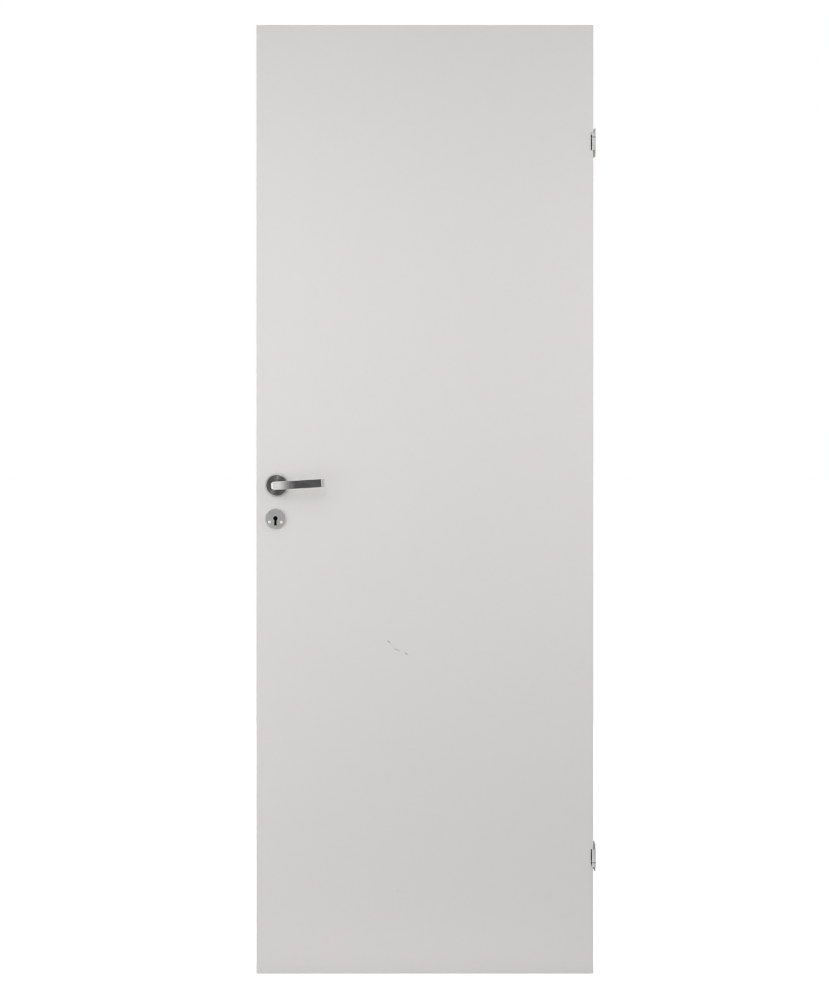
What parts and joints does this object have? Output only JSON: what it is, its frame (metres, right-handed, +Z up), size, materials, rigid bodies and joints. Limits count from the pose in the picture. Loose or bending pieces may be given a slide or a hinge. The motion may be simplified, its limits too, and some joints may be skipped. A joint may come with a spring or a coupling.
{
  "type": "interior door",
  "caption": "White flush interior door leaf on compact barrel hinges, with a satin steel lever set, a mortice lock and a round key escutcheon.",
  "frame": {"origin": "centre of the lower hinge's frame plate on its back face, which lies on the door post", "axes": "+X out of that face into the post, +Y through the leaf from front to back, +Z up"},
  "size_m": [0.7302, 0.15, 2.04],
  "materials": {
    "white_paint": "satin white paint on fibreboard",
    "painted_timber": "satin white paint on softwood edges",
    "raw_timber": "raw softwood",
    "zinc_steel": "bright zinc plating",
    "satin_steel": "lengthwise satin brushing",
    "turned_steel": "circular satin brushing",
    "matt_steel": "dull satin, faintly turned",
    "bolt_steel": "ground steel",
    "bright_steel": "polished screw heads",
    "dark_steel": "blackened grub screws",
    "bearing_ring": "grey plastic bearing ring"
  },
  "bodies": {
    "frame_side": {"lower_hinge_frame_plate": "zinc_steel", "upper_hinge_frame_plate": "zinc_steel"},
    "leaf": {"front_skin": "white_paint", "back_skin": "white_paint", "hinge_stile": "painted_timber", "lock_stile": "painted_timber", "top_rail": "painted_timber", "bottom_rail": "painted_timber", "lock_block": "raw_timber", "lock_case": "zinc_steel", "forend": "satin_steel", "forend_screws": "zinc_steel", "latch_bolt": "bolt_steel", "dead_bolt": "bolt_steel", "front_rose": "turned_steel", "back_rose": "turned_steel", "front_escutcheon": "matt_steel", "back_escutcheon": "matt_steel", "front_escutcheon_screws": "bright_steel", "back_escutcheon_screws": "bright_steel", "lower_hinge_leaf_plate": "zinc_steel", "lower_hinge_pin": "bolt_steel", "lower_hinge_washer": "bearing_ring", "lower_hinge_leaf_screws": "zinc_steel", "upper_hinge_leaf_plate": "zinc_steel", "upper_hinge_pin": "bolt_steel", "upper_hinge_washer": "bearing_ring", "upper_hinge_leaf_screws": "zinc_steel"},
    "handle": {"front_lever": "satin_steel", "back_lever": "satin_steel", "spindle": "zinc_steel", "lever_set_screws": "dark_steel"}
  },
  "joints": [
    {"name": "door_swing", "type": "hinge", "parent": "frame_side", "child": "leaf", "pos_m": [-0.00425, -0.0205, 0], "axis": [0, 0, 1], "range_deg": [0, 110]},
    {"name": "handle_turn", "type": "hinge", "parent": "leaf", "child": "handle", "pos_m": [-0.6858, 0, 0.802], "axis": [0, 1, 0], "range_deg": [0, 45], "stiffness_Nm_per_rad": 0.8, "springref_deg": -34.38}
  ]
}
